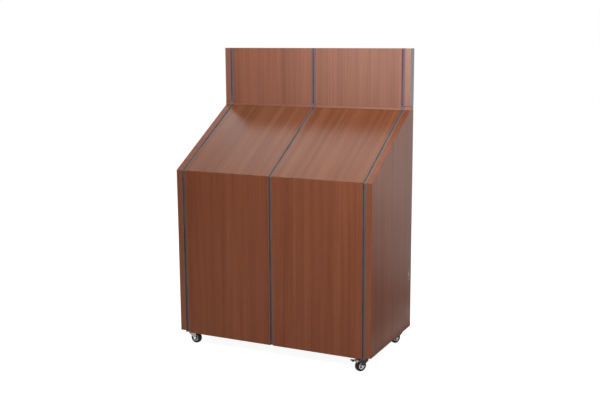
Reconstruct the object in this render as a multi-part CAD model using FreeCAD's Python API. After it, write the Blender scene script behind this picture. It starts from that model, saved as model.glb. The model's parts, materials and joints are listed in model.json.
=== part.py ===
import FreeCAD, Part
import math
import os

# Book drop box on four casters: a board cabinet with a sloping front, a header board at the back,
# a book slot with a flap, a chute, a padded floor and a locked door on the rear.
# Millimetres, +Z up. X runs across the width, -Y is the front. The floor is z = 0 and the origin
# is on the floor under the middle of the part's box.

# Cabinet
cabinet_width = 900.0
cabinet_depth = 475.0
body_top = 1032.0
header_top = 1292.0
slope_angle = 30.0
side_thickness = 25.0
board_thickness = 18.0
base_thickness = 25.0
base_underside = 62.0
front_hang = 2.0  # the lower front boards end this far below the base panel's underside
side_lift = 6.0  # the side panels end this far above the base panel's underside
tongue_reach = 17.0
tongue_start = 28.0

# Channel profiles between the boards: an H section, open to the front
trim_width = 16.0
trim_wall = 2.0
trim_groove = 8.0

# Framing behind the boards
stile_depth = 20.0
outer_stile_width = 46.0
centre_stile_width = 80.0
crossrail_height = 45.0

# Header
header_core_thickness = 7.0
rail_height = 16.0
rail_lip = 2.0
header_lap = 8.0
post_corner_radius = 3.0

# Book slot, its metal frame and its flap
slot_width = 400.0
slot_height = 86.0
slot_bottom = 888.0
frame_flange = 22.0
frame_proud = 3.0
frame_wall = 2.0
frame_reach = 6.0  # the frame's sleeve ends this far inside the rear panel
frame_fit = 0.3
frame_edge_radius = 2.0
ear_length = 14.0
ear_drop = 20.0
ear_above_pin = 6.0
flap_pin_radius = 2.0
flap_pin_head_radius = 3.5
flap_pin_head = 2.0
flap_pin_drop = 3.0  # distance from the sleeve's inner end to the pin's axis
flap_pin_rise = 6.0  # height of the pin's axis above the slot
flap_thickness = 2.0
flap_side_gap = 1.5
flap_overhang = 3.0
knuckle_wall = 2.0

# Chute
chute_thickness = 12.0
chute_angle = 30.0
chute_run = 290.0
chute_step = 1.0
cleat_size = 20.0

# Padded floor
pad_thickness = 15.0
pad_border = 10.0

# Rear door
door_height = 431.0
door_side_gap = 2.0
door_end_gap = 3.0

# Butt hinges of the door
hinge_height = 60.0
hinge_leaf_depth = 26.0
hinge_leaf_thickness = 1.5
hinge_knuckle_radius = 3.5
hinge_pin_radius = 1.6
hinge_pin_head = 1.5
hinge_setback = 4.0  # the pin's axis stands this far behind the door's face
hinge_end_distance = 85.0
knuckle_gap = 0.4

# Cam lock and its strike plate
lock_edge_distance = 26.0
barrel_radius = 9.5
barrel_head_radius = 11.5
barrel_head = 3.0
barrel_end = 3.0
plug_radius = 6.0
cam_length = 25.0
cam_width = 12.0
cam_thickness = 2.5
cam_gap = 0.5
keyway_width = 1.2
keyway_height = 7.0
keyway_depth = 8.0
strike_height = 35.0
strike_depth = 33.0
strike_thickness = 1.5
lug_reach = 14.0
lug_thickness = 2.0
lug_gap = 0.5

# Door handle
handle_edge_distance = 80.0
handle_centres = 128.0
handle_standoff = 28.0
handle_radius = 5.0
handle_foot_radius = 8.0
handle_foot = 3.0

# Casters
plate_side = 40.0
plate_thickness = 3.0
plate_corner_radius = 4.0
race_radius = 16.0
race_height = 4.0
axial_gap = 0.3
kingpin_radius = 4.0
rivet_radius = 7.0
rivet_height = 3.0
fork_disc_radius = 19.0
fork_disc_thickness = 3.0
fork_leg_thickness = 2.0
fork_leg_lead = 16.0
fork_leg_trail = 20.0
fork_skirt_height = 13.0
fork_boss_radius = 5.5
fork_web_thickness = 2.0
wheel_radius = 24.0
tyre_width = 18.0
tyre_shoulder = 4.0
hub_radius = 14.0
hub_width = 17.0
hub_rim = 3.2
hub_dish = 4.0
hub_boss_radius = 5.5
wheel_side_gap = 1.5
swivel_offset = 16.0
axle_radius = 3.0
axle_head_radius = 4.2
axle_head = 2.5
screw_inset = 6.0
screw_radius = 2.0
screw_head_radius = 3.6
screw_head = 2.0
screw_length = 14.0
screw_clearance = 0.2

# Brake pedal, in the caster's own frame: x along the trail, z up
pedal_reach = 68.0
pedal_width = 16.0
pedal_thickness = 2.5
pedal_rise = 3.0
pedal_pad_length = 14.0
pedal_pad_thickness = 5.0
pedal_pivot_x = 31.0
pedal_pivot_z = 48.5
pedal_barrel_radius = 3.2
pedal_stub_radius = 2.0
pedal_ear_radius = 5.0
shoe_width = 14.0
shoe_thickness = 3.6
shoe_gap = 2.0
shoe_angle = 38.0

# Fits and travel
running_clearance = 0.05
flap_travel = 60.0
door_travel = 165.0
cam_travel = 90.0
pedal_travel = 8.0

# Each caster's corner, how far its swivel is in from the side and from the front or back,
# and where its wheel trails to
casters = {
    "front_left": {"side": -1, "end": -1, "in_x": 30.0, "in_y": 53.0, "trail": -3.0, "brake": False},
    "front_right": {"side": 1, "end": -1, "in_x": 48.0, "in_y": 42.0, "trail": -120.0, "brake": True},
    "rear_left": {"side": -1, "end": 1, "in_x": 43.0, "in_y": 46.0, "trail": -70.0, "brake": True},
    "rear_right": {"side": 1, "end": 1, "in_x": 42.0, "in_y": 42.0, "trail": -118.0, "brake": False},
}

# Places that follow from the sizes above. Depth is counted from the front face, in +Y.
half_width = cabinet_width / 2
inner_x = half_width - side_thickness
board_outer_x = inner_x - trim_width
board_inner_x = trim_width / 2
rear_inner_y = cabinet_depth - board_thickness
header_depth = 2 * board_thickness + header_core_thickness
header_y = cabinet_depth - header_depth
core_y = header_y + board_thickness
slope_rise = math.tan(math.radians(slope_angle))
slope_cosine = math.cos(math.radians(slope_angle))
knee_z = body_top - header_y * slope_rise
base_top = base_underside + base_thickness
rail_top = body_top + rail_height
header_board_bottom = rail_top - header_lap
slot_top = slot_bottom + slot_height
sleeve_end_y = rear_inner_y - frame_reach
flap_pin_y = sleeve_end_y - flap_pin_drop
flap_pin_z = slot_top + flap_pin_rise
chute_top_z = slot_bottom - frame_wall - chute_step
chute_rise = math.tan(math.radians(chute_angle))
chute_drop = chute_thickness / math.cos(math.radians(chute_angle))
door_bottom = base_top + door_end_gap
door_top = door_bottom + door_height
slot_panel_bottom = door_top + door_end_gap
door_half = inner_x - door_side_gap
door_middle = (door_bottom + door_top) / 2
hinge_x = -inner_x + door_side_gap / 2
hinge_y = cabinet_depth + hinge_setback
hinge_heights = (door_bottom + hinge_end_distance, door_top - hinge_end_distance)
lock_x = door_half - lock_edge_distance
lug_rear_y = rear_inner_y - lug_gap
barrel_inner_y = rear_inner_y - barrel_end
cam_rear_y = barrel_inner_y - cam_gap
cam_front_y = cam_rear_y - cam_thickness
handle_x = door_half - handle_edge_distance
fork_top_z = base_underside - plate_thickness - race_height - axial_gap
fork_disc_z = fork_top_z - fork_disc_thickness
leg_inner_y = tyre_width / 2 + wheel_side_gap
leg_outer_y = leg_inner_y + fork_leg_thickness
pedal_tip_radius = pedal_width / 2


def vector(x, y, z):
    return FreeCAD.Vector(x, y, z)


def block(x0, x1, y0, y1, z0, z1):
    return Part.makeBox(x1 - x0, y1 - y0, z1 - z0, vector(x0, y0, z0))


def rod_x(radius, x0, x1, y, z):
    return Part.makeCylinder(radius, x1 - x0, vector(x0, y, z), vector(1, 0, 0))


def rod_y(radius, y0, y1, x, z):
    return Part.makeCylinder(radius, y1 - y0, vector(x, y0, z), vector(0, 1, 0))


def rod_z(radius, z0, z1, x, y):
    return Part.makeCylinder(radius, z1 - z0, vector(x, y, z0), vector(0, 0, 1))


def profile_x(outline, x0, x1):
    """A prism along X from an outline of (y, z) points."""
    points = [vector(x0, y, z) for y, z in outline]
    return Part.Face(Part.makePolygon(points + points[:1])).extrude(vector(x1 - x0, 0, 0))


def profile_y(outline, y0, y1):
    """A prism along Y from an outline of (x, z) points."""
    points = [vector(x, y0, z) for x, z in outline]
    return Part.Face(Part.makePolygon(points + points[:1])).extrude(vector(0, y1 - y0, 0))


def joined(shapes):
    """One solid from pieces that share material."""
    return shapes[0].fuse(shapes[1:]).removeSplitter()


def edges_along(shape, direction, test):
    """The shape's straight edges that run along a direction and pass the test at their middle."""
    chosen = []
    for edge in shape.Edges:
        if edge.Curve.TypeId != "Part::GeomLine":
            continue
        run = edge.Vertexes[1].Point.sub(edge.Vertexes[0].Point)
        if abs(run.dot(direction)) > 0.999 * run.Length and test(edge.CenterOfMass):
            chosen.append(edge)
    return chosen


def slope_z(y, depth):
    """Height of the sloping front at y, the given depth under its face."""
    return knee_z + y * slope_rise - depth / slope_cosine


def lower_outline(depth0, depth1, bottom):
    """Side view of a layer of the lower front, mitred at the knee."""
    return [
        (depth0, bottom),
        (depth1, bottom),
        (depth1, slope_z(depth1, depth1)),
        (depth0, slope_z(depth0, depth0)),
    ]


def slope_outline(depth0, depth1):
    """Side view of a layer of the sloping front, from the knee's mitre to the header."""
    return [
        (depth0, slope_z(depth0, depth0)),
        (depth1, slope_z(depth1, depth1)),
        (header_y, slope_z(header_y, depth1)),
        (header_y, slope_z(header_y, depth0)),
    ]


def header_outline(depth0, depth1):
    """Side view of a layer of the header's front."""
    return [
        (header_y + depth0, header_board_bottom),
        (header_y + depth1, header_board_bottom),
        (header_y + depth1, header_top),
        (header_y + depth0, header_top),
    ]


def trim_profile(layer, x_middle):
    """An H profile between two boards. layer gives the side view between two depths."""
    x0 = x_middle - trim_width / 2
    x1 = x_middle + trim_width / 2
    flanges = [
        profile_x(layer(0, board_thickness), x0, x0 + trim_wall),
        profile_x(layer(0, board_thickness), x1 - trim_wall, x1),
    ]
    web = profile_x(layer(trim_groove, trim_groove + trim_wall), x0 + trim_wall, x1 - trim_wall)
    return joined([web] + flanges)


def strike_shell():
    """The part of the strike plate that wraps round the side panel's rear edge."""
    z0 = door_middle - strike_height / 2
    z1 = door_middle + strike_height / 2
    y0 = cabinet_depth - strike_depth
    outer = block(half_width - strike_thickness, half_width, y0, cabinet_depth, z0, z1)
    edge = block(inner_x, half_width, cabinet_depth - strike_thickness, cabinet_depth, z0, z1)
    inner = block(inner_x, inner_x + strike_thickness, y0, cabinet_depth, z0, z1)
    return joined([outer, edge, inner])


def strike_plate():
    z0 = door_middle - strike_height / 2
    z1 = door_middle + strike_height / 2
    lug_x = inner_x - lug_reach
    lug = block(lug_x, inner_x + strike_thickness, lug_rear_y - lug_thickness, lug_rear_y, z0, z1)
    return joined([strike_shell(), lug])


def hinge_pocket(side):
    """Room for one leaf of every hinge: side -1 is the cabinet's leaf, 1 is the door's."""
    leaves = [hinge_leaf(side, height) for height in hinge_heights]
    return Part.makeCompound(leaves)


def hinge_leaf(side, height):
    face_x = hinge_x + side * door_side_gap / 2
    x0, x1 = sorted((face_x, face_x + side * hinge_leaf_thickness))
    y0 = cabinet_depth - hinge_leaf_depth
    return block(x0, x1, y0, cabinet_depth, height - hinge_height / 2, height + hinge_height / 2)


def hinge_knuckle(side, z0, z1):
    """One knuckle and the strip that joins it to its leaf."""
    face_x = hinge_x + side * door_side_gap / 2
    x0, x1 = sorted((face_x, face_x + side * hinge_leaf_thickness))
    barrel = rod_z(hinge_knuckle_radius, z0, z1, hinge_x, hinge_y)
    strip = block(x0, x1, cabinet_depth, hinge_y, z0, z1)
    return joined([barrel, strip])


def hinge_fixed(height):
    """Cabinet leaf with the two end knuckles and the pin riveted in them."""
    third = hinge_height / 6
    bottom = height - hinge_height / 2
    top = height + hinge_height / 2
    pin = rod_z(hinge_pin_radius, bottom - hinge_pin_head, top + hinge_pin_head, hinge_x, hinge_y)
    low = hinge_knuckle(-1, bottom, height - third)
    high = hinge_knuckle(-1, height + third, top)
    return joined([hinge_leaf(-1, height), low, high, pin])


def hinge_moving(height):
    """Door leaf with the middle knuckle, bored for the pin."""
    third = hinge_height / 6
    middle = hinge_knuckle(1, height - third + knuckle_gap, height + third - knuckle_gap)
    bore = rod_z(hinge_pin_radius + running_clearance, height - third, height + third, hinge_x, hinge_y)
    return joined([hinge_leaf(1, height), middle]).cut(bore)


def side_panel(side):
    """Side panel: plain on the left, with the strike's recess on the right."""
    bottom = base_underside + side_lift
    outline = [
        (0, bottom),
        (0, knee_z),
        (header_y, body_top),
        (cabinet_depth, body_top),
        (cabinet_depth, bottom),
    ]
    x0, x1 = sorted((side * inner_x, side * half_width))
    panel = profile_x(outline, x0, x1)
    recess = hinge_pocket(-1) if side < 0 else strike_shell()
    return panel.cut(recess).cut(caster_screws(screw_radius))


def base_panel():
    """Bottom board, with tongues under the side panels that back the casters' plates."""
    board = block(-inner_x, inner_x, board_thickness, cabinet_depth, base_underside, base_top)
    tongue_x = inner_x + tongue_reach
    tongue_top = base_underside + side_lift
    tongue = block(-tongue_x, tongue_x, tongue_start, cabinet_depth, base_underside, tongue_top)
    return joined([board, tongue]).cut(caster_screws(screw_radius))


def header_rail():
    """Rail between body and header, rebated for the header's front boards and profiles."""
    rail = block(-half_width, half_width, header_y - rail_lip, cabinet_depth, body_top, rail_top)
    rebate = block(-inner_x, inner_x, header_y - rail_lip, core_y, header_board_bottom, rail_top)
    return rail.cut(rebate)


def header_post(side):
    x0, x1 = sorted((side * inner_x, side * half_width))
    post = block(x0, x1, header_y, cabinet_depth, rail_top, header_top)
    outer = edges_along(post, vector(0, 1, 0), lambda p: abs(p.x) > half_width - 1 and p.z < rail_top + 1)
    return post.makeFillet(post_corner_radius, outer)


def slot_cut(margin, y0, y1):
    """A prism through the slot, larger than the slot by the margin on every side."""
    x = slot_width / 2 + margin
    return block(-x, x, y0, y1, slot_bottom - margin, slot_top + margin)


def rear_slot_panel():
    panel = block(-inner_x, inner_x, rear_inner_y, cabinet_depth, slot_panel_bottom, body_top)
    return panel.cut(slot_cut(frame_wall + frame_fit, rear_inner_y, cabinet_depth))


def slot_frame():
    """Bezel on the rear face, a sleeve through the panel, and two ears that carry the flap's pin."""
    bezel = slot_cut(frame_flange, cabinet_depth, cabinet_depth + frame_proud)
    rim = [e for e in bezel.Edges if e.CenterOfMass.y > cabinet_depth + frame_proud - 0.1]
    bezel = bezel.makeFillet(frame_edge_radius, rim)
    pieces = [bezel, slot_cut(frame_wall, sleeve_end_y, cabinet_depth)]
    hole = slot_cut(0, sleeve_end_y - ear_length, cabinet_depth + frame_proud)
    frame = joined(pieces).cut(hole)
    pin = flap_pin_rod(flap_pin_radius)
    for side in (-1, 1):
        x0, x1 = sorted((side * slot_width / 2, side * (slot_width / 2 + frame_wall)))
        ear_front = flap_pin_y - flap_pin_drop - frame_wall
        ear = block(x0, x1, ear_front, rear_inner_y, slot_top - ear_drop, flap_pin_z + ear_above_pin)
        frame = frame.fuse(ear)
    return frame.removeSplitter().cut(pin)


def flap_pin_rod(radius):
    reach = slot_width / 2 + frame_wall
    return rod_x(radius, -reach, reach, flap_pin_y, flap_pin_z)


def flap_pin():
    reach = slot_width / 2 + frame_wall
    pieces = [flap_pin_rod(flap_pin_radius)]
    for x0, x1 in ((-reach - flap_pin_head, -reach), (reach, reach + flap_pin_head)):
        pieces.append(rod_x(flap_pin_head_radius, x0, x1, flap_pin_y, flap_pin_z))
    return joined(pieces)


def slot_flap():
    """Flap that hangs from a rolled knuckle and closes the sleeve's inner end."""
    x = slot_width / 2 - flap_side_gap
    y0 = flap_pin_y - flap_thickness / 2
    sheet = block(-x, x, y0, y0 + flap_thickness, slot_bottom - flap_overhang, flap_pin_z)
    barrel = rod_x(flap_pin_radius + knuckle_wall, -x, x, flap_pin_y, flap_pin_z)
    return joined([sheet, barrel]).cut(rod_x(flap_pin_radius + running_clearance, -x, x, flap_pin_y, flap_pin_z))


def chute_surface(y, depth):
    """Height of the chute at y, the given height under its top."""
    return chute_top_z - (rear_inner_y - y) * chute_rise - depth


def chute_layer(top, bottom, x0, x1):
    """A layer of the chute from the rear panel to its lower end, between two depths."""
    end_y = rear_inner_y - chute_run
    outline = [
        (rear_inner_y, chute_surface(rear_inner_y, top)),
        (end_y, chute_surface(end_y, top)),
        (end_y, chute_surface(end_y, bottom)),
        (rear_inner_y, chute_surface(rear_inner_y, bottom)),
    ]
    return profile_x(outline, x0, x1)


def chute_cleats():
    bottom = chute_drop + cleat_size
    left = chute_layer(chute_drop, bottom, -inner_x, -inner_x + cleat_size)
    right = chute_layer(chute_drop, bottom, inner_x - cleat_size, inner_x)
    return Part.makeCompound([left, right])


def floor_pad():
    x = inner_x - pad_border
    y0 = board_thickness + stile_depth + pad_border
    return block(-x, x, y0, rear_inner_y - pad_border, base_top, base_top + pad_thickness)


def rear_door():
    panel = block(-door_half, door_half, rear_inner_y, cabinet_depth, door_bottom, door_top)
    barrel = rod_y(barrel_radius, rear_inner_y, cabinet_depth, lock_x, door_middle)
    return panel.cut([barrel, hinge_pocket(1)])


def lock_barrel():
    body = rod_y(barrel_radius, barrel_inner_y, cabinet_depth, lock_x, door_middle)
    head = rod_y(barrel_head_radius, cabinet_depth, cabinet_depth + barrel_head, lock_x, door_middle)
    bore_radius = plug_radius + running_clearance
    bore = rod_y(bore_radius, barrel_inner_y, cabinet_depth + barrel_head, lock_x, door_middle)
    return joined([body, head]).cut(bore)


def lock_cam():
    """Lock plug with its cam, which hangs down when the door is unlocked."""
    face_y = cabinet_depth + barrel_head
    plug = rod_y(plug_radius, cam_front_y, face_y, lock_x, door_middle)
    tip_z = door_middle - cam_length + cam_width / 2
    arm = block(lock_x - cam_width / 2, lock_x + cam_width / 2, cam_front_y, cam_rear_y, tip_z, door_middle)
    tip = rod_y(cam_width / 2, cam_front_y, cam_rear_y, lock_x, tip_z)
    keyway = block(
        lock_x - keyway_width / 2,
        lock_x + keyway_width / 2,
        face_y - keyway_depth,
        face_y,
        door_middle - keyway_height / 2,
        door_middle + keyway_height / 2,
    )
    return joined([plug, arm, tip]).cut(keyway)


def door_handle():
    """Bow handle: a bar on two legs with round feet."""
    bar_y = cabinet_depth + handle_standoff - handle_radius
    low = door_middle - handle_centres / 2
    high = door_middle + handle_centres / 2
    pieces = [rod_z(handle_radius, low, high, handle_x, bar_y)]
    for z in (low, high):
        pieces.append(rod_y(handle_radius, cabinet_depth, bar_y, handle_x, z))
        pieces.append(rod_y(handle_foot_radius, cabinet_depth, cabinet_depth + handle_foot, handle_x, z))
        pieces.append(Part.makeSphere(handle_radius, vector(handle_x, bar_y, z)))
    return joined(pieces)


def caster_place(name):
    """Swivel axis of a caster, counted from the cabinet's front face."""
    corner = casters[name]
    x = corner["side"] * (half_width - corner["in_x"])
    y = corner["in_y"] if corner["end"] < 0 else cabinet_depth - corner["in_y"]
    return x, y


def at_caster(shape, name):
    """Turn a caster's piece to its trail and carry it to its corner."""
    x, y = caster_place(name)
    placed = shape.copy()
    placed.rotate(vector(0, 0, 0), vector(0, 0, 1), casters[name]["trail"])
    placed.translate(vector(x, y, 0))
    return placed


def screw_places(name):
    x, y = caster_place(name)
    reach = plate_side / 2 - screw_inset
    return [(x + i * reach, y + j * reach) for i in (-1, 1) for j in (-1, 1)]


def caster_plates():
    """Fixed half of each caster: plate, race and riveted kingpin."""
    plates = []
    for name in casters:
        x, y = caster_place(name)
        half = plate_side / 2
        plate_z = base_underside - plate_thickness
        plate = block(x - half, x + half, y - half, y + half, plate_z, base_underside)
        corners = edges_along(plate, vector(0, 0, 1), lambda p: True)
        plate = plate.makeFillet(plate_corner_radius, corners)
        race = rod_z(race_radius, plate_z - race_height, plate_z, x, y)
        rivet_top = fork_disc_z - axial_gap
        kingpin = rod_z(kingpin_radius, rivet_top, plate_z, x, y)
        rivet = rod_z(rivet_radius, rivet_top - rivet_height, rivet_top, x, y)
        plate = joined([plate, race, kingpin, rivet])
        for hole_x, hole_y in screw_places(name):
            plate = plate.cut(rod_z(screw_radius + screw_clearance, plate_z, base_underside, hole_x, hole_y))
        plates.append(plate)
    return Part.makeCompound(plates)


def caster_screws(shank_radius):
    """Four screws for each caster, heads under the plate and shanks in the base panel."""
    screws = []
    head_top = base_underside - plate_thickness
    for name in casters:
        for x, y in screw_places(name):
            shank = rod_z(shank_radius, head_top, base_underside + screw_length, x, y)
            head = rod_z(screw_head_radius, head_top - screw_head, head_top, x, y)
            screws.append(joined([shank, head]))
    return Part.makeCompound(screws)


def fork(brake):
    """Pressed fork in the caster's own frame, with ears for the pedal's pivot on a braked one."""
    axle_z = wheel_radius
    skirt_z = fork_top_z - fork_skirt_height
    pieces = [rod_z(fork_disc_radius, fork_disc_z, fork_top_z, 0, 0)]
    leg = [
        (-fork_leg_lead, fork_top_z),
        (fork_leg_trail, fork_top_z),
        (fork_leg_trail, skirt_z),
        (swivel_offset + fork_boss_radius, axle_z),
        (swivel_offset - fork_boss_radius, axle_z),
        (-fork_leg_lead, skirt_z),
    ]
    ear = [
        (0, fork_disc_z),
        (pedal_pivot_x, pedal_pivot_z + pedal_ear_radius),
        (pedal_pivot_x, pedal_pivot_z - pedal_ear_radius),
        (0, axle_z + fork_boss_radius + pedal_ear_radius),
    ]
    for y0, y1 in ((-leg_outer_y, -leg_inner_y), (leg_inner_y, leg_outer_y)):
        pieces.append(profile_y(leg, y0, y1))
        pieces.append(rod_y(fork_boss_radius, y0, y1, swivel_offset, axle_z))
        if brake:
            pieces.append(profile_y(ear, y0, y1))
            pieces.append(rod_y(pedal_ear_radius, y0, y1, pedal_pivot_x, pedal_pivot_z))
    web_end = fork_web_thickness - fork_leg_lead
    pieces.append(block(-fork_leg_lead, web_end, -leg_outer_y, leg_outer_y, skirt_z, fork_top_z))
    holes = [
        rod_z(kingpin_radius + running_clearance, fork_disc_z, fork_top_z, 0, 0),
        rod_y(axle_radius + running_clearance, -leg_outer_y, leg_outer_y, swivel_offset, axle_z),
    ]
    if brake:
        stub_hole = pedal_stub_radius + running_clearance
        holes.append(rod_y(stub_hole, -leg_outer_y, leg_outer_y, pedal_pivot_x, pedal_pivot_z))
    return joined(pieces).cut(holes)


def axle():
    pieces = [rod_y(axle_radius, -leg_outer_y, leg_outer_y, swivel_offset, wheel_radius)]
    for y0, y1 in ((-leg_outer_y - axle_head, -leg_outer_y), (leg_outer_y, leg_outer_y + axle_head)):
        pieces.append(rod_y(axle_head_radius, y0, y1, swivel_offset, wheel_radius))
    return joined(pieces)


def turned(outline):
    """A solid of revolution about the wheel's axle from an outline of (radius, y) points."""
    points = [vector(swivel_offset, y, wheel_radius + r) for r, y in outline]
    face = Part.Face(Part.makePolygon(points + points[:1]))
    return face.revolve(vector(swivel_offset, 0, wheel_radius), vector(0, 1, 0), 360)


def hub():
    """Wheel centre: a rim and a boss joined by a dished web."""
    bore = axle_radius + running_clearance
    half = hub_width / 2
    web = half - hub_dish
    rim = hub_radius - hub_rim
    side = [(bore, half), (hub_boss_radius, half), (hub_boss_radius, web), (rim, web), (rim, half)]
    outline = side + [(hub_radius, half), (hub_radius, -half)] + [(r, -y) for r, y in reversed(side)]
    return turned(outline)


def tyre():
    half = tyre_width / 2
    ring = turned([(hub_radius, -half), (hub_radius, half), (wheel_radius, half), (wheel_radius, -half)])
    shoulders = []
    for edge in ring.Edges:
        if edge.Curve.TypeId == "Part::GeomCircle" and edge.Curve.Radius > wheel_radius - 0.1:
            shoulders.append(edge)
    return ring.makeFillet(tyre_shoulder, shoulders)


def brake_pedal():
    """Pedal on its pivot, with the shoe that bears on the tyre when the pedal goes down."""
    half = pedal_width / 2
    low = pedal_pivot_z + pedal_barrel_radius - pedal_thickness
    high = low + pedal_rise
    tip_x = pedal_reach - pedal_tip_radius
    pad_x = pedal_reach - pedal_pad_length
    lever = [
        (pedal_pivot_x, low),
        (tip_x, high),
        (tip_x, high + pedal_thickness),
        (pedal_pivot_x, low + pedal_thickness),
    ]
    plate = profile_y(lever, -half, half)
    pad_low = high + (pedal_thickness - pedal_pad_thickness) / 2
    pad = block(pad_x, tip_x, -half, half, pad_low, pad_low + pedal_pad_thickness)
    tip = rod_z(pedal_tip_radius, pad_low, pad_low + pedal_pad_thickness, tip_x, 0)
    barrel = rod_y(pedal_barrel_radius, -half, half, pedal_pivot_x, pedal_pivot_z)
    stubs = rod_y(pedal_stub_radius, -leg_outer_y, leg_outer_y, pedal_pivot_x, pedal_pivot_z)
    angle = math.radians(shoe_angle)
    reach = wheel_radius + shoe_gap
    shoe_x = swivel_offset + reach * math.cos(angle)
    shoe_z = wheel_radius + reach * math.sin(angle)
    shoe = [
        (pedal_pivot_x, pedal_pivot_z),
        (pedal_pivot_x + shoe_thickness, pedal_pivot_z),
        (shoe_x + shoe_thickness * math.cos(angle), shoe_z + shoe_thickness * math.sin(angle)),
        (shoe_x, shoe_z),
    ]
    shoe_piece = profile_y(shoe, -shoe_width / 2, shoe_width / 2)
    return joined([plate, pad, tip, barrel, stubs, shoe_piece])


def foremost_y():
    """The part's front: the cabinet's face or a brake pedal's tip that reaches past it."""
    tips = [0.0]
    for name in casters:
        if casters[name]["brake"]:
            tip_run = (pedal_reach - pedal_tip_radius) * math.sin(math.radians(casters[name]["trail"]))
            tips.append(caster_place(name)[1] + tip_run - pedal_tip_radius)
    return min(tips)


# The handle is the rearmost piece. Everything is shifted so that the box's middle is at y = 0.
rearmost_y = cabinet_depth + handle_standoff
shift_y = -(foremost_y() + rearmost_y) / 2

nodes = {
    "side_panel_left": side_panel(-1),
    "side_panel_right": side_panel(1),
    "base_panel": base_panel(),
    "top_crossrail": block(
        -inner_x, inner_x, header_y, rear_inner_y, body_top - crossrail_height, body_top
    ),
    "header_rail": header_rail(),
    "header_post_left": header_post(-1),
    "header_post_right": header_post(1),
    "header_core": block(-inner_x, inner_x, core_y, rear_inner_y, rail_top, header_top),
    "header_back_panel": block(-inner_x, inner_x, rear_inner_y, cabinet_depth, rail_top, header_top),
    "rear_slot_panel": rear_slot_panel(),
    "slot_frame": slot_frame(),
    "flap_pin": flap_pin(),
    "slot_flap": slot_flap(),
    "chute_board": chute_layer(0, chute_drop, -inner_x, inner_x),
    "chute_cleats": chute_cleats(),
    "floor_pad": floor_pad(),
    "rear_door": rear_door(),
    "door_hinge_fixed": Part.makeCompound([hinge_fixed(height) for height in hinge_heights]),
    "door_hinge_moving": Part.makeCompound([hinge_moving(height) for height in hinge_heights]),
    "lock_barrel": lock_barrel(),
    "lock_cam": lock_cam(),
    "strike_plate": strike_plate(),
    "door_handle": door_handle(),
    "caster_plates": caster_plates(),
    "caster_screws": caster_screws(screw_radius),
}

# The front: two boards on each of its three faces, and a profile beside and between them
front_faces = {
    "lower": lambda depth0, depth1: lower_outline(depth0, depth1, base_underside - front_hang),
    "slope": slope_outline,
    "header": header_outline,
}
board_names = {"lower": "front_panel", "slope": "slope_panel", "header": "header_panel"}
board_spans = {"left": (-board_outer_x, -board_inner_x), "right": (board_inner_x, board_outer_x)}
trim_middles = {"left": -inner_x + trim_width / 2, "centre": 0.0, "right": inner_x - trim_width / 2}
for face, layer in front_faces.items():
    for side, span in board_spans.items():
        nodes[f"{board_names[face]}_{side}"] = profile_x(layer(0, board_thickness), *span)
    for side, middle in trim_middles.items():
        nodes[f"trim_{face}_{side}"] = trim_profile(layer, middle)

# Stiles behind the lower front and rafters behind the slope
frame_inner = board_thickness + stile_depth
frame_spans = [
    (-inner_x, -inner_x + outer_stile_width),
    (-centre_stile_width / 2, centre_stile_width / 2),
    (inner_x - outer_stile_width, inner_x),
]
stile_layer = lower_outline(board_thickness, frame_inner, base_top)
rafter_layer = slope_outline(board_thickness, frame_inner)
nodes["front_stiles"] = Part.makeCompound([profile_x(stile_layer, *span) for span in frame_spans])
nodes["slope_rafters"] = Part.makeCompound([profile_x(rafter_layer, *span) for span in frame_spans])

for name, corner in casters.items():
    nodes[f"caster_fork_{name}"] = at_caster(fork(corner["brake"]), name)
    nodes[f"caster_axle_{name}"] = at_caster(axle(), name)
    nodes[f"caster_hub_{name}"] = at_caster(hub(), name)
    nodes[f"caster_tyre_{name}"] = at_caster(tyre(), name)
    if corner["brake"]:
        nodes[f"brake_pedal_{name}"] = at_caster(brake_pedal(), name)

os.makedirs("parts", exist_ok=True)
for name, shape in nodes.items():
    shape.translate(vector(0, shift_y, 0))
    shape.exportStep(f"parts/{name}.step")
print(len(nodes), "nodes, shifted in y by", round(shift_y, 3))
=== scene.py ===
import bpy
import bmesh
import json
import math
import random
from mathutils import Matrix, Vector


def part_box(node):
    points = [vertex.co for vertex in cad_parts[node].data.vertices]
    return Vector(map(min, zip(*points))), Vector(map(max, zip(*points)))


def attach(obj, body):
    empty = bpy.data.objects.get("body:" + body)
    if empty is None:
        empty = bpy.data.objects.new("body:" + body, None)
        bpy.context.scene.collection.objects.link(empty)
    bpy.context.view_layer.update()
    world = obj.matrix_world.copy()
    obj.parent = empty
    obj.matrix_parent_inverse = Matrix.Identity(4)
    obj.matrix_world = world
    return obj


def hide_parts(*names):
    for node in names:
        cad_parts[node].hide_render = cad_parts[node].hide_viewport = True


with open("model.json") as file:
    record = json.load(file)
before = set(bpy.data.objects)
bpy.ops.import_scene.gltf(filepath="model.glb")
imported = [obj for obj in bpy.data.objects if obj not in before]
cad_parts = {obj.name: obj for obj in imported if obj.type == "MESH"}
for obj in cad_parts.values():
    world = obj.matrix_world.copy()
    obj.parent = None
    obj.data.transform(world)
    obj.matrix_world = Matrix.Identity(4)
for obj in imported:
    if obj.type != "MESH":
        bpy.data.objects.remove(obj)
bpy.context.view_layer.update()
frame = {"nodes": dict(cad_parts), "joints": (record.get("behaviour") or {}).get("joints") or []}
nodes = frame["nodes"]
joints = {joint["name"]: joint for joint in frame["joints"]}
random.seed(7)

# Places read from the frame, in metres
left_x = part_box("side_panel_left")[0].x
right_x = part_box("side_panel_right")[1].x
front_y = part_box("front_panel_left")[0].y
rear_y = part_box("rear_slot_panel")[1].y
front_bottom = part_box("front_panel_left")[0].z
knee_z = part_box("front_panel_left")[1].z
body_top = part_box("header_rail")[0].z
header_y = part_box("header_panel_left")[0].y
slope_tilt = math.atan2(body_top - knee_z, header_y - front_y)
corners = ("front_left", "front_right", "rear_left", "rear_right")


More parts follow.
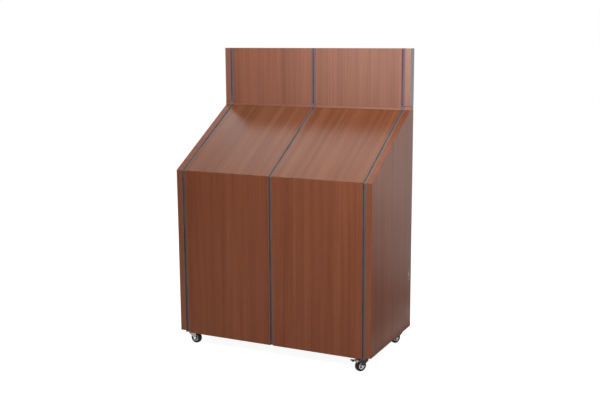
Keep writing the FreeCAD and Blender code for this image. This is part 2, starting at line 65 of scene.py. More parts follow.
# ---------------------------------------------------------------- camera
def make_camera():
    """A camera at the photograph's angle: placed from the cabinet's lower left front corner."""
    corner = Vector((left_x, front_y, front_bottom))
    from_corner = Vector((2.2071, -3.3384, 1.3076))
    turn_left, look_down, roll = 0.4516, 0.1794, -0.0059
    data = bpy.data.cameras.new("camera")
    data.lens = 56.0
    data.sensor_width = 36.0
    data.clip_end = 60.0
    camera = bpy.data.objects.new("camera", data)
    camera.location = corner + from_corner
    turned = Matrix.Rotation(turn_left, 3, "Z")
    tilted = Matrix.Rotation(math.pi / 2 - look_down, 3, "X")
    rolled = Matrix.Rotation(roll, 3, "Z")
    camera.rotation_euler = (turned @ tilted @ rolled).to_euler()
    bpy.context.scene.collection.objects.link(camera)
    bpy.context.scene.camera = camera


# ---------------------------------------------------------------- node graphs
class Graph:
    """A material and short calls that add nodes to it."""

    def __init__(self, name):
        self.material = bpy.data.materials.new(name)
        self.material.use_nodes = True
        self.tree = self.material.node_tree
        self.tree.nodes.clear()
        self.output = self.tree.nodes.new("ShaderNodeOutputMaterial")
        self.shader = self.tree.nodes.new("ShaderNodeBsdfPrincipled")
        self.tree.links.new(self.shader.outputs[0], self.output.inputs[0])

    def node(self, kind, **settings):
        made = self.tree.nodes.new(kind)
        for key, value in settings.items():
            setattr(made, key, value)
        return made

    def put(self, value, socket):
        """Links a node's output, or sets a plain value."""
        if isinstance(value, bpy.types.NodeSocket):
            self.tree.links.new(value, socket)
        else:
            socket.default_value = value

    def coords(self, scale=(1, 1, 1), rotation=(0, 0, 0), location=(0, 0, 0)):
        """The piece's own coordinates, in metres times the scale."""
        texture = self.node("ShaderNodeTexCoord")
        mapping = self.node("ShaderNodeMapping")
        self.put(texture.outputs["Object"], mapping.inputs["Vector"])
        mapping.inputs["Scale"].default_value = scale
        mapping.inputs["Rotation"].default_value = rotation
        mapping.inputs["Location"].default_value = location
        return mapping.outputs[0]

    def scaled(self, vector, scale):
        mapping = self.node("ShaderNodeMapping")
        self.put(vector, mapping.inputs["Vector"])
        mapping.inputs["Scale"].default_value = scale
        return mapping.outputs[0]

    def noise(self, vector, detail=2.0, roughness=0.5, distortion=0.0):
        made = self.node("ShaderNodeTexNoise")
        self.put(vector, made.inputs["Vector"])
        made.inputs["Scale"].default_value = 1.0
        made.inputs["Detail"].default_value = detail
        made.inputs["Roughness"].default_value = roughness
        made.inputs["Distortion"].default_value = distortion
        return made.outputs["Fac"]

    def cells(self, vector):
        """The distance to the nearest of many scattered points, about one in each unit."""
        made = self.node("ShaderNodeTexVoronoi")
        self.put(vector, made.inputs["Vector"])
        made.inputs["Scale"].default_value = 1.0
        return made.outputs["Distance"]

    def spread(self, value, low, high, to_low=0.0, to_high=1.0):
        """Maps low to high onto to_low to to_high, and clamps past them."""
        made = self.node("ShaderNodeMapRange")
        self.put(value, made.inputs["Value"])
        made.inputs["From Min"].default_value = low
        made.inputs["From Max"].default_value = high
        made.inputs["To Min"].default_value = to_low
        made.inputs["To Max"].default_value = to_high
        return made.outputs["Result"]

    def math(self, operation, first, second=0.0):
        made = self.node("ShaderNodeMath", operation=operation)
        self.put(first, made.inputs[0])
        self.put(second, made.inputs[1])
        return made.outputs[0]

    def mixed(self, share, first, second):
        """The first colour where the share is 0, and the second where it is 1."""
        made = self.node("ShaderNodeMix", data_type="RGBA")
        self.put(share, made.inputs["Factor"])
        self.put(first, made.inputs[6])
        self.put(second, made.inputs[7])
        return made.outputs[2]

    def ramp(self, value, stops):
        """Colours along a value, from stops of (place, colour)."""
        made = self.node("ShaderNodeValToRGB")
        self.put(value, made.inputs["Fac"])
        elements = made.color_ramp.elements
        elements[0].position, elements[0].color = stops[0][0], (*stops[0][1], 1)
        elements[1].position, elements[1].color = stops[-1][0], (*stops[-1][1], 1)
        for place, colour in stops[1:-1]:
            elements.new(place).color = (*colour, 1)
        return made.outputs["Color"]

    def sharp_edge_mask(self, radius, low, high):
        """1 on sharp edges and 0 on flat faces."""
        bevel = self.node("ShaderNodeBevel", samples=4)
        bevel.inputs["Radius"].default_value = radius
        geometry = self.node("ShaderNodeNewGeometry")
        product = self.node("ShaderNodeVectorMath", operation="DOT_PRODUCT")
        self.put(bevel.outputs[0], product.inputs[0])
        self.put(geometry.outputs["Normal"], product.inputs[1])
        return self.spread(product.outputs["Value"], high, low)

    def bump(self, height, distance, strength=1.0, under=None):
        """Relief up to a distance in metres, on top of another bump where one is given."""
        made = self.node("ShaderNodeBump")
        made.inputs["Strength"].default_value = strength
        made.inputs["Distance"].default_value = distance
        self.put(height, made.inputs["Height"])
        if under is not None:
            self.put(under, made.inputs["Normal"])
        return made.outputs[0]

    def finish(self, colour, roughness, normal, metallic=0.0, **plain):
        """Joins everything to the shader; plain names its other sockets, with _ for a space."""
        self.put(colour, self.shader.inputs["Base Color"])
        self.put(roughness, self.shader.inputs["Roughness"])
        self.put(normal, self.shader.inputs["Normal"])
        self.shader.inputs["Metallic"].default_value = metallic
        for name, value in plain.items():
            self.shader.inputs[name.replace("_", " ")].default_value = value
        return self.material


# ---------------------------------------------------------------- materials
def laminate(name, seed, grain="Z", tilt=0.0, painted_light_tone=(1.0, 1.0, 1.0), gloss=0.22, haze=0.0, post=False):
    """Satin red-brown wood-print laminate with straight grain along Z, X, or up the slope.

    tone multiplies the browns: painted light and reflection that make one board lighter or greyer than
    another; gloss is the specular level and haze adds to the roughness.
    A header post has wider pale edges, wear with a painted highlight, and its sideways faces painted grey as
    a painted glancing reflection.
    """
    g = Graph(name)
    turn = {"Z": (tilt, 0, 0), "X": (0, math.pi / 2, 0)}[grain]
    wander_reach = 0.012
    base = g.coords(rotation=turn, location=(seed * 1.7, seed * 0.9, seed * 2.3))
    wander = g.noise(g.scaled(base, (5, 5, 0.8)), detail=1.0)
    bent = g.node("ShaderNodeVectorMath", operation="ADD")
    shift = g.node("ShaderNodeCombineXYZ")
    for across in (0, 1):
        g.put(g.spread(wander, 0, 1, -wander_reach, wander_reach), shift.inputs[across])
    g.put(base, bent.inputs[0])
    g.put(shift.outputs[0], bent.inputs[1])
    line = bent.outputs[0]
    bands = g.noise(g.scaled(line, (38, 38, 0.5)), detail=2.0, roughness=0.55)
    streaks = g.noise(g.scaled(line, (170, 170, 1.6)), detail=3.0, roughness=0.6)
    fine = g.noise(g.scaled(line, (900, 900, 9)), detail=2.0, roughness=0.6)
    pores = g.noise(g.scaled(line, (1500, 1500, 45)), detail=1.0)
    band_share, streak_share, fine_share = 0.42, 0.40, 0.18
    figure = g.math("ADD", g.math("MULTIPLY", bands, band_share), g.math("MULTIPLY", streaks, streak_share))
    figure = g.math("ADD", figure, g.math("MULTIPLY", fine, fine_share))
    browns = [
        (0.30, (0.120, 0.0300, 0.0115)),
        (0.46, (0.168, 0.0460, 0.0185)),
        (0.56, (0.197, 0.0570, 0.0240)),
        (0.72, (0.250, 0.0820, 0.0370)),
    ]
    wood = g.ramp(figure, [(place, tuple(a * b for a, b in zip(painted_light_tone, brown))) for place, brown in browns])
    pore_brown = (0.065, 0.017, 0.008, 1)
    cloud_brown = (0.27, 0.096, 0.047, 1)
    wear_and_highlight_pale = (0.36, 0.19, 0.12, 1)
    pore_mask = g.spread(pores, 0.60, 0.72)
    wood = g.mixed(g.math("MULTIPLY", pore_mask, 0.35), wood, pore_brown)
    cloud = g.noise(g.coords(scale=(2.1, 2.1, 1.3), location=(seed, seed, seed)), detail=1.0)
    wood = g.mixed(g.spread(cloud, 0.2, 0.8, 0.0, 0.22), wood, cloud_brown)
    # Pale edges, partly wear and partly a painted highlight along the boards' edges and the rail's lip; wider
    # on the header posts.
    edge_radius = 0.0030 if post else 0.0012
    edge = g.sharp_edge_mask(edge_radius, 0.55, 0.98)
    patchiness = g.noise(g.coords(scale=(60, 60, 60)), detail=3.0)
    wear_and_highlight = g.math("MULTIPLY", edge, g.spread(patchiness, 0.42, 0.62, 0.05, 0.45))
    wood = g.mixed(wear_and_highlight, wood, wear_and_highlight_pale)
    # Painted reflection: a header post's sideways faces turn grey, as a glancing reflection shows them.
    if post:
        normal = g.node("ShaderNodeSeparateXYZ")
        g.put(g.node("ShaderNodeNewGeometry").outputs["Normal"], normal.inputs[0])
        sideways = g.spread(g.math("ABSOLUTE", normal.outputs[0]), 0.75, 0.95)
        painted_side_sheen = g.mixed(g.spread(fine, 0.3, 0.7), (0.120, 0.102, 0.114, 1), (0.170, 0.148, 0.162, 1))
        wood = g.mixed(sideways, wood, painted_side_sheen)
    smoothest, roughest = 0.27 + haze, 0.35 + haze
    smear = g.noise(g.coords(scale=(6, 6, 3)), detail=2.0)
    roughness = g.spread(smear, 0.1, 0.9, smoothest, roughest)
    relief = g.math("ADD", g.math("MULTIPLY", fine, 0.5), g.math("MULTIPLY", pore_mask, -0.6))
    grain_bump = g.bump(relief, 0.00006, 0.6)
    ripple = g.bump(g.noise(g.coords(scale=(3.2, 3.2, 3.2)), detail=0.0), 0.0008, 0.3, under=grain_bump)
    return g.finish(wood, roughness, ripple, Specular_IOR_Level=gloss)


def dark_profile(name, dark, pale):
    """Coated aluminium profile: clouds between two dark colours, fine grain, and pale edges that are partly
    rubbed wear and partly a painted highlight on the lips.
    """
    g = Graph(name)
    cloud = g.noise(g.coords(scale=(40, 40, 6)), detail=3.0)
    colour = g.mixed(g.spread(cloud, 0.3, 0.7), (*dark, 1), (*pale, 1))
    grain = g.noise(g.coords(scale=(2600, 2600, 2600)), detail=1.0)
    edge = g.sharp_edge_mask(0.0009, 0.5, 0.97)
    patchiness = g.spread(g.noise(g.coords(scale=(90, 90, 25)), detail=3.0), 0.4, 0.65, 0.1, 0.75)
    # Pale edges: rubbed wear and a painted highlight on the profile's lips.
    colour = g.mixed(g.math("MULTIPLY", edge, patchiness), colour, (0.36, 0.33, 0.36, 1))
    roughness = g.spread(cloud, 0.3, 0.7, 0.36, 0.5)
    return g.finish(colour, roughness, g.bump(grain, 0.00003, 0.5), metallic=0.25)


def batten_wood():
    """Plain planed softwood of the hidden framing."""
    g = Graph("batten_wood")
    rings = g.noise(g.coords(scale=(90, 90, 4)), detail=4.0, distortion=0.6)
    fibre = g.noise(g.coords(scale=(900, 900, 25)), detail=2.0)
    yellows = [
        (0.35, (0.36, 0.21, 0.10)),
        (0.52, (0.52, 0.34, 0.18)),
        (0.70, (0.62, 0.44, 0.26)),
    ]
    colour = g.ramp(rings, yellows)
    colour = g.mixed(g.spread(fibre, 0.55, 0.75, 0, 0.4), colour, (0.30, 0.18, 0.09, 1))
    return g.finish(colour, g.spread(rings, 0.3, 0.7, 0.55, 0.7), g.bump(fibre, 0.0002, 0.5))


def chute_laminate():
    """Pale grey smooth laminate of the chute, scuffed along the way the books slide."""
    g = Graph("chute_laminate")
    scuff = g.noise(g.coords(scale=(420, 5, 5)), detail=3.0)
    cloud = g.noise(g.coords(scale=(6, 6, 6)), detail=3.0)
    colour = g.mixed(g.spread(cloud, 0.3, 0.7), (0.30, 0.29, 0.27, 1), (0.40, 0.39, 0.36, 1))
    colour = g.mixed(g.spread(scuff, 0.58, 0.75, 0, 0.5), colour, (0.16, 0.15, 0.14, 1))
    return g.finish(colour, g.spread(scuff, 0.3, 0.7, 0.25, 0.45), g.bump(scuff, 0.00005, 0.5))


def steel(name, base, roughness, along, share=0.25):
    """Brushed or plated steel: lines or grain by the scales in along, cloudy plating, dull spots."""
    g = Graph(name)
    patina = (0.30, 0.28, 0.24, 1)
    brush = g.noise(g.coords(scale=along), detail=2.0)
    cloud = g.noise(g.coords(scale=(55, 55, 55)), detail=4.0, roughness=0.6)
    spots = g.cells(g.coords(scale=(260, 260, 260)))
    dull = g.math("MULTIPLY", g.spread(cloud, 0.45, 0.75), share)
    colour = g.mixed(dull, (*base, 1), patina)
    colour = g.mixed(g.spread(spots, 0.10, 0.0, 0, 0.25), colour, (0.16, 0.13, 0.10, 1))
    rough = g.math("ADD", g.spread(brush, 0.3, 0.7, roughness - 0.05, roughness + 0.06),
                   g.math("MULTIPLY", dull, 0.35))
    return g.finish(colour, rough, g.bump(brush, 0.00004, 0.4), metallic=1.0)


def lacquered_metal():
    """Brown lacquer on the strike plate, with a painted highlight along the end that meets the side's face
    and on its edges.
    """
    g = Graph("dark_metal")
    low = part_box("strike_plate")[0]
    cloud = g.noise(g.coords(scale=(70, 70, 70)), detail=3.0)
    colour = g.mixed(g.spread(cloud, 0.3, 0.7), (0.085, 0.042, 0.030, 1), (0.120, 0.062, 0.046, 1))
    place = g.node("ShaderNodeSeparateXYZ")
    g.put(g.coords(), place.inputs[0])
    front_end, foot, top_from, blend = rear_y - 0.024, low.z + 0.005, low.z + 0.012, 0.002
    front = g.spread(place.outputs[1], front_end, front_end + 2 * blend, 1.0, 0.0)
    upper = g.spread(place.outputs[2], top_from, top_from + blend)
    lowest = g.spread(place.outputs[2], foot, foot + blend, 1.0, 0.0)
    patchiness = g.spread(g.noise(g.coords(scale=(200, 200, 200)), detail=3.0), 0.3, 0.6, 0.55, 0.95)
    # Painted highlight: a pale glint down the plate's front end in two runs, and on its edges.
    pale = g.math("MULTIPLY", g.math("MULTIPLY", front, patchiness), g.math("MAXIMUM", upper, lowest))
    colour = g.mixed(pale, colour, (0.46, 0.34, 0.29, 1))
    edge = g.math("MULTIPLY", g.sharp_edge_mask(0.0007, 0.5, 0.97), patchiness)
    colour = g.mixed(edge, colour, (0.50, 0.42, 0.36, 1))
    return g.finish(colour, g.spread(cloud, 0.3, 0.7, 0.3, 0.45), g.bump(cloud, 0.00008, 0.3), metallic=0.1)


def rubber():
    """Black rubber with a fine grain and a little dust."""
    g = Graph("tyre_rubber")
    dust = g.noise(g.coords(scale=(150, 150, 150)), detail=4.0, roughness=0.65)
    colour = g.mixed(g.spread(dust, 0.45, 0.8), (0.006, 0.006, 0.007, 1), (0.022, 0.021, 0.020, 1))
    grain = g.noise(g.coords(scale=(1800, 1800, 1800)), detail=2.0)
    return g.finish(colour, g.spread(dust, 0.3, 0.7, 0.42, 0.7), g.bump(grain, 0.00008, 0.6),
                    Specular_IOR_Level=0.18)


def wheel_plastic():
    """Light grey moulded plastic of the wheel centres, clouded with grime."""
    g = Graph("wheel_plastic")
    cloud = g.noise(g.coords(scale=(120, 120, 120)), detail=4.0)
    colour = g.mixed(g.spread(cloud, 0.4, 0.75, 0, 0.6), (0.86, 0.87, 0.86, 1), (0.64, 0.63, 0.60, 1))
    grain = g.noise(g.coords(scale=(2500, 2500, 2500)), detail=1.0)
    return g.finish(colour, g.spread(cloud, 0.3, 0.7, 0.28, 0.45), g.bump(grain, 0.00004, 0.4))


def dark_plastic():
    """Dark moulded plastic of the pedal covers, dust rings and race seals; also painted shade: the strips
    under the header posts, the wheels' recesses and the screws' cross recesses.
    """
    g = Graph("dark_plastic")
    cloud = g.noise(g.coords(scale=(130, 130, 130)), detail=3.0)
    colour = g.mixed(g.spread(cloud, 0.4, 0.75), (0.010, 0.010, 0.011, 1), (0.030, 0.029, 0.028, 1))
    grain = g.noise(g.coords(scale=(2200, 2200, 2200)), detail=1.0)
    return g.finish(colour, g.spread(cloud, 0.3, 0.7, 0.38, 0.6), g.bump(grain, 0.00006, 0.5),
                    Specular_IOR_Level=0.1)


def felt():
    """Charcoal felt: matted fibres, a soft nap and lint."""
    g = Graph("pad_felt")
    fibre = g.noise(g.coords(scale=(700, 700, 700)), detail=6.0, roughness=0.75, distortion=1.5)
    lint = g.cells(g.coords(scale=(95, 95, 95)))
    cloud = g.noise(g.coords(scale=(9, 9, 9)), detail=3.0)
    colour = g.mixed(g.spread(fibre, 0.3, 0.7), (0.030, 0.034, 0.038, 1), (0.085, 0.092, 0.10, 1))
    colour = g.mixed(g.spread(cloud, 0.4, 0.7, 0, 0.35), colour, (0.12, 0.12, 0.12, 1))
    colour = g.mixed(g.spread(lint, 0.07, 0.0, 0, 0.5), colour, (0.30, 0.29, 0.27, 1))
    return g.finish(colour, g.spread(fibre, 0.2, 0.8, 0.85, 1.0), g.bump(fibre, 0.0006, 0.8),
                    Sheen_Weight=0.35, Sheen_Roughness=0.6)


# ---------------------------------------------------------------- finishes of the CAD nodes
def paint(node, material):
    for place in nodes[node].material_slots:
        place.material = material


def add_bevel(thing, width, segments):
    """Rounds every edge between faces that meet at more than 40 degrees."""
    rounding = thing.modifiers.new("bevel", "BEVEL")
    rounding.width = width
    rounding.segments = segments
    rounding.limit_method = "ANGLE"
    rounding.angle_limit = math.radians(40)
    return rounding


def soften(node, width):
    """Breaks a board's or a fitting's sharp edges, without touching its mesh."""
    weld = nodes[node].modifiers.new("weld", "WELD")
    weld.merge_threshold = 0.00001
    rounding = add_bevel(nodes[node], width, segments=2)
    rounding.harden_normals = True


def board_finish(name, number):
    """Laminate of one board: its grain's direction and polish, and its browns made lighter or greyer by a
    painted light tone where the board catches more light and reflection.
    """
    looks = {}
    if name.startswith("slope_panel"):
        looks = {"tilt": math.pi / 2 - slope_tilt, "painted_light_tone": (0.92, 1.10, 1.20), "gloss": 0.26, "haze": -0.07}
    elif name.startswith("header_post"):
        looks = {"painted_light_tone": (1.06, 1.06, 1.06), "gloss": 0.68, "post": True}
    elif name.startswith("header_panel"):
        looks = {"painted_light_tone": (1.15, 1.20, 1.20), "gloss": 0.42}
    elif name.startswith("front_panel"):
        looks = {"gloss": 0.13}
    elif name == "header_rail":
        looks = {"grain": "X", "painted_light_tone": (1.3, 1.55, 1.7), "gloss": 0.45}
    elif name in ("base_panel", "top_crossrail"):
        looks = {"grain": "X"}
    return laminate(f"laminate_{name}", number, **looks)


def dress_cad():
    """Gives every CAD node but the floor pad its finish, and the boards, battens, chute board and profiles
    their broken edges.
    """
    profile_edge, batten_edge, board_edge = 0.0004, 0.0008, 0.0006
    profiles = {"lower": "dark_profile", "slope": "slope_profile_painted_lit", "header": "header_profile_painted_lit"}
    for number, name in enumerate(sorted(nodes)):
        if name.startswith("trim_"):
            stretch = name.split("_")[1]
            paint(name, finishes[profiles[stretch]])
            soften(name, profile_edge)
        elif name in ("front_stiles", "slope_rafters", "chute_cleats", "header_core"):
            paint(name, finishes["batten_wood"])
            soften(name, batten_edge)
        elif name == "chute_board":
            paint(name, finishes["chute_laminate"])
            soften(name, batten_edge)
        elif name in ("slot_frame", "slot_flap"):
            paint(name, finishes["brushed_metal"])
        elif name in ("flap_pin", "door_hinge_fixed", "door_hinge_moving", "door_handle",
                      "lock_barrel", "lock_cam"):
            paint(name, finishes["bright_metal"])
        elif name == "strike_plate":
            paint(name, finishes["dark_metal"])
        elif name.startswith("caster_tyre"):
            paint(name, finishes["tyre_rubber"])
        elif name.startswith("caster_hub"):
            paint(name, finishes["wheel_plastic"])
        elif name.startswith(("caster_axle", "brake_pedal")):
            paint(name, finishes["axle_zinc"])
        elif name.startswith("caster_"):
            paint(name, finishes["zinc_steel"])
        elif name != "floor_pad":
            paint(name, board_finish(name, number))
            soften(name, board_edge)


# ---------------------------------------------------------------- pieces of the scene
def facing(place, axis):
    """The turn and move that stand a piece made along Z on a place, facing along an axis."""
    turn = Vector((0, 0, 1)).rotation_difference(Vector(axis)).to_matrix().to_4x4()
    return Matrix.Translation(Vector(place)) @ turn


def polar(radius, angle, height=0.0):
    return Vector((radius * math.cos(angle), radius * math.sin(angle), height))


def add_turned(mesh, outline, matrix, segments=48):
    """Adds a turned ring or cap from a closed outline of (radius, height) points."""
    rings = []
    for step in range(segments):
        angle = 2 * math.pi * step / segments
        rings.append([mesh.verts.new(matrix @ polar(radius, angle, height)) for radius, height in outline])
    for step in range(segments):
        here, after = rings[step], rings[(step + 1) % segments]
        for k in range(len(outline)):
            n = (k + 1) % len(outline)
            mesh.faces.new((here[k], after[k], after[n], here[n]))


def add_prism(mesh, outline, low, high, matrix, slot_index=0):
    """Adds a prism from an outline of (x, y) points between two heights."""
    bottom = [mesh.verts.new(matrix @ Vector((x, y, low))) for x, y in outline]
    top = [mesh.verts.new(matrix @ Vector((x, y, high))) for x, y in outline]
    faces = [mesh.faces.new(list(reversed(bottom))), mesh.faces.new(top)]
    for k in range(len(outline)):
        n = (k + 1) % len(outline)
        faces.append(mesh.faces.new((bottom[k], bottom[n], top[n], top[k])))
    for face in faces:
        face.material_index = slot_index


def add_screw(mesh, place, axis, radius, turn=0.0, proud=0.0006):
    """Adds a countersunk screw's head: a shallow dome with a cross recess in a second, dark finish that
    paints the shade inside the recess.
    """
    matrix = facing(place, axis)
    tiny, sunk, clear = radius * 0.02, -0.001, 0.00006
    dome = [(tiny, sunk), (radius, sunk), (radius, proud * 0.25), (radius * 0.8, proud * 0.8),
            (radius * 0.45, proud), (tiny, proud)]
    add_turned(mesh, dome, matrix, 24)
    arm, wide = radius * 0.52, radius * 0.13
    waist, belly = arm * 0.5, wide * 1.5
    bar = [(-arm, -wide), (-waist, -belly), (waist, -belly), (arm, -wide),
           (arm, wide), (waist, belly), (-waist, belly), (-arm, wide)]
    for quarter in (0.0, math.pi / 2):
        spun = matrix @ Matrix.Rotation(turn + quarter, 4, "Z")
        add_prism(mesh, bar, proud * 0.4, proud + clear, spun, slot_index=1)


def add_nut(mesh, corner, hole, low, high, matrix):
    """Adds a nut between two heights: a hexagon, sized to its corners, with a round hole."""
    count = 36
    half_side = math.pi / 6
    rings = []
    for height in (low, high):
        inner, outer = [], []
        for k in range(count):
            angle = 2 * math.pi * k / count
            from_middle = angle % (2 * half_side) - half_side
            reach = corner * math.cos(half_side) / math.cos(from_middle)
            inner.append(mesh.verts.new(matrix @ polar(hole, angle, height)))
            outer.append(mesh.verts.new(matrix @ polar(reach, angle, height)))
        rings.append((inner, outer))
    (inner_low, outer_low), (inner_high, outer_high) = rings
    for k in range(count):
        n = (k + 1) % count
        mesh.faces.new((inner_low[k], inner_low[n], outer_low[n], outer_low[k]))
        mesh.faces.new((inner_high[n], inner_high[k], outer_high[k], outer_high[n]))
        mesh.faces.new((outer_low[k], outer_low[n], outer_high[n], outer_high[k]))
        mesh.faces.new((inner_low[n], inner_low[k], inner_high[k], inner_high[n]))


def piece(name, mesh, body, materials, bevel=0.0):
    """Turns a built mesh into a piece of the scene that rides a body."""
    sharp_from = math.radians(35)
    bmesh.ops.recalc_face_normals(mesh, faces=mesh.faces)
    for face in mesh.faces:
        face.smooth = True
    for edge in mesh.edges:
        edge.smooth = edge.calc_face_angle(0.0) < sharp_from
    data = bpy.data.meshes.new(name)
    mesh.to_mesh(data)
    mesh.free()
    for material in materials:
        data.materials.append(finishes[material])
    made = bpy.data.objects.new(name, data)
    bpy.context.scene.collection.objects.link(made)
    if bevel:
        add_bevel(made, bevel, segments=3)
    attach(made, body)
    return made


def screws(name, body, slot, radius, places, proud=0.0006):
    """One piece with a screw head at each place, a pair of a point and the way it faces."""
    mesh = bmesh.new()
    for place, axis in places:
        add_screw(mesh, place, axis, radius, turn=random.uniform(0, math.pi / 2), proud=proud)
    # The second finish, dark plastic, paints the shade in the screws' cross recesses.
    return piece(name, mesh, body, (slot, "dark_plastic"))


def centre(node):
    low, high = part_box(node)
    return (low + high) / 2


def make_fasteners():
    """Screw heads of the slot frame, the strike plate, the rear panel and the chute."""
    rearward = (0, 1, 0)
    low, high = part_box("slot_frame")
    middle_x = (low.x + high.x) / 2
    inset, from_middle = 0.011, 0.11
    across = (low.x + inset, middle_x - from_middle, middle_x + from_middle, high.x - inset)
    places = [((x, high.y, z), rearward) for x in across for z in (low.z + inset, high.z - inset)]
    screws("slot_frame_screws", "cabinet", "brushed_metal", 0.0042, places)

    low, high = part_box("strike_plate")
    side_board_middle = right_x - 0.0125
    middle_z = (low.z + high.z) / 2
    places = [((side_board_middle, high.y, middle_z + dz), rearward) for dz in (-0.010, 0.010)]
    screws("strike_screws", "cabinet", "zinc_steel", 0.0036, places, proud=0.0005)

    low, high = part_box("rear_slot_panel")
    from_side, from_end, rows = 0.0125, 0.05, 4
    spacing = (high.z - low.z - 2 * from_end) / (rows - 1)
    levels = [low.z + from_end + k * spacing for k in range(rows)]
    columns = (low.x + from_side, high.x - from_side)
    places = [((x, high.y, z), rearward) for x in columns for z in levels]
    screws("rear_panel_screws", "cabinet", "zinc_steel", 0.0040, places, proud=0.0004)

    low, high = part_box("chute_board")
    fall = math.radians(30)
    square_to_chute = (0, -math.sin(fall), math.cos(fall))
    from_side = 0.012
    places = []
    for x in (low.x + from_side, high.x - from_side):
        for back in (0.05, 0.14, 0.23):
            places.append(((x, high.y - back, high.z - back * math.tan(fall)), square_to_chute))
    screws("chute_screws", "cabinet", "zinc_steel", 0.0036, places, proud=0.0005)


def make_hinge_screws():
    """Three screws in each hinge leaf, seen when the door is open."""
    axis_x = joints["door_swing"]["pos_m"][0]
    leaf_y = rear_y - 0.013
    to_leaf = 0.001
    leaves = (("door_hinge_fixed", "cabinet", 1, 0.0315), ("door_hinge_moving", "door", -1, 0.030))
    for node, body, side, inset in leaves:
        low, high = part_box(node)
        face_x = axis_x - side * to_leaf
        middles = (low.z + inset, high.z - inset)
        places = [((face_x, leaf_y, z + dz), (side, 0, 0)) for z in middles for dz in (-0.020, 0.0, 0.020)]
        screws(f"{node}_screws", body, "bright_metal", 0.0032, places, proud=0.0003)


def make_door_fittings():
    """Inside the door: a nut on the lock's barrel, and the handle's two bolt heads with washers."""
    inward = (0, -1, 0)
    inner_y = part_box("rear_door")[0].y
    lock = joints["lock_turn"]["pos_m"]
    nut = bmesh.new()
    at_lock = facing((lock[0], inner_y, lock[2]), inward)
    inner, outer, bottom, top = 0.0096, 0.0124, 0.0001, 0.0006
    add_turned(nut, [(inner, bottom), (outer, bottom), (outer, top), (inner, top)], at_lock)
    add_nut(nut, 0.0126, 0.0097, top, 0.0024, at_lock)
    piece("lock_nut", nut, "door", ("bright_metal",), bevel=0.0003)

    low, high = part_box("door_handle")
    x = (low.x + high.x) / 2
    foot_inset, washer_thick = 0.008, 0.0012
    washer = [(0.0002, 0.0), (0.0075, 0.0), (0.0075, 0.0010), (0.0050, washer_thick), (0.0002, washer_thick)]
    bolts = bmesh.new()
    for z in (low.z + foot_inset, high.z - foot_inset):
        add_turned(bolts, washer, facing((x, inner_y, z), inward), 36)
        add_screw(bolts, (x, inner_y - washer_thick, z), inward, 0.0045, turn=0.4, proud=0.0022)
    # The bolts' cross recesses take dark plastic as painted shade.
    piece("handle_bolts", bolts, "door", ("zinc_steel", "dark_plastic"))


def make_rail_caps():
    """Short channels that carry the header's strips down over the rail's lip."""
    low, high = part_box("header_rail")
    wide, groove, thin, proud = 0.008, 0.004, 0.0004, 0.0012
    outline = [(-wide, thin), (-wide, -proud), (-groove, -proud), (-groove, -thin),
               (groove, -thin), (groove, -proud), (wide, -proud), (wide, thin)]
    caps = bmesh.new()
    for side in ("left", "centre", "right"):
        middle = centre(f"trim_header_{side}")
        add_prism(caps, outline, low.z, high.z, Matrix.Translation((middle.x, low.y, 0)))
    piece("rail_caps", caps, "cabinet", ("header_profile_painted_lit",), bevel=0.0002)


def make_post_shadow_strips():
    """A dark half-round strip along the rail's lip, under the foot of each header post: painted shade that
    stands in for the shadow gap there.
    """
    rail_low, rail_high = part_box("header_rail")
    radius, short, steps = 0.0011, 0.0005, 12
    angles = [math.pi * k / steps for k in range(steps + 1)]
    half_round = [(-radius * math.cos(angle), radius * math.sin(angle)) for angle in angles]
    shadow_strips = bmesh.new()
    for side in ("left", "right"):
        low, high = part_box(f"header_post_{side}")
        along_x = Matrix(((0, 0, 1, 0), (1, 0, 0, rail_low.y + radius), (0, 1, 0, rail_high.z), (0, 0, 0, 1)))
        add_prism(shadow_strips, half_round, low.x + short, high.x - short, along_x)
    piece("post_shadow_strips", shadow_strips, "cabinet", ("dark_plastic",))


def make_wheels():
    """On each caster: a ribbed dark dust ring in both of the wheel's recesses, whose dark plastic also paints
    the shade in those recesses, and nuts on its axle.
    """
    recess_floor, fork_face, ribs = 0.0045, 0.0125, 8
    disc = [(0.0056, 0.0001), (0.0107, 0.0001), (0.0107, 0.0016), (0.0101, 0.0022),
            (0.0094, 0.0014), (0.0066, 0.0012), (0.0060, 0.0022), (0.0056, 0.0022)]
    rib = [(0.0062, -0.0004), (0.0098, -0.0006), (0.0098, 0.0006), (0.0062, 0.0004)]
    stub = [(0.0001, 0.0020), (0.0021, 0.0020), (0.0021, 0.0028), (0.0016, 0.0031), (0.0001, 0.0031)]
    for corner in corners:
        spin = joints[f"spin_{corner}"]
        middle = Vector(spin["pos_m"])
        axis = Vector(spin["axis"]).normalized()
        rings = bmesh.new()
        nuts = bmesh.new()
        for side in (-1, 1):
            out = axis * side
            face = facing(middle + out * recess_floor, out)
            add_turned(rings, disc, face, 64)
            for k in range(ribs):
                spoke = face @ Matrix.Rotation(2 * math.pi * k / ribs, 4, "Z")
                add_prism(rings, rib, 0.0008, 0.0021, spoke)
            nut_face = facing(middle + out * fork_face, out)
            add_nut(nuts, 0.0050, 0.0020, 0.0, 0.0026, nut_face)
            add_turned(nuts, stub, nut_face, 24)
        piece(f"dust_rings_recess_shade_{corner}", rings, f"wheel_{corner}", ("dark_plastic",))
        piece(f"axle_nuts_{corner}", nuts, f"fork_{corner}", ("axle_zinc",), bevel=0.0002)


def make_seals():
    """A dark grease seal round each caster's race, under its plate."""
    plate_thick = 0.003
    plate_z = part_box("caster_plates")[1].z - plate_thick
    lip = [(0.0159, -0.0040), (0.0166, -0.0036), (0.0170, -0.0022), (0.0166, -0.0004), (0.0159, 0.0)]
    for corner in corners:
        pivot = joints[f"swivel_{corner}"]["pos_m"]
        seal = bmesh.new()
        add_turned(seal, lip, Matrix.Translation((pivot[0], pivot[1], plate_z)), 64)
        piece(f"race_seal_{corner}", seal, "cabinet", ("dark_plastic",))


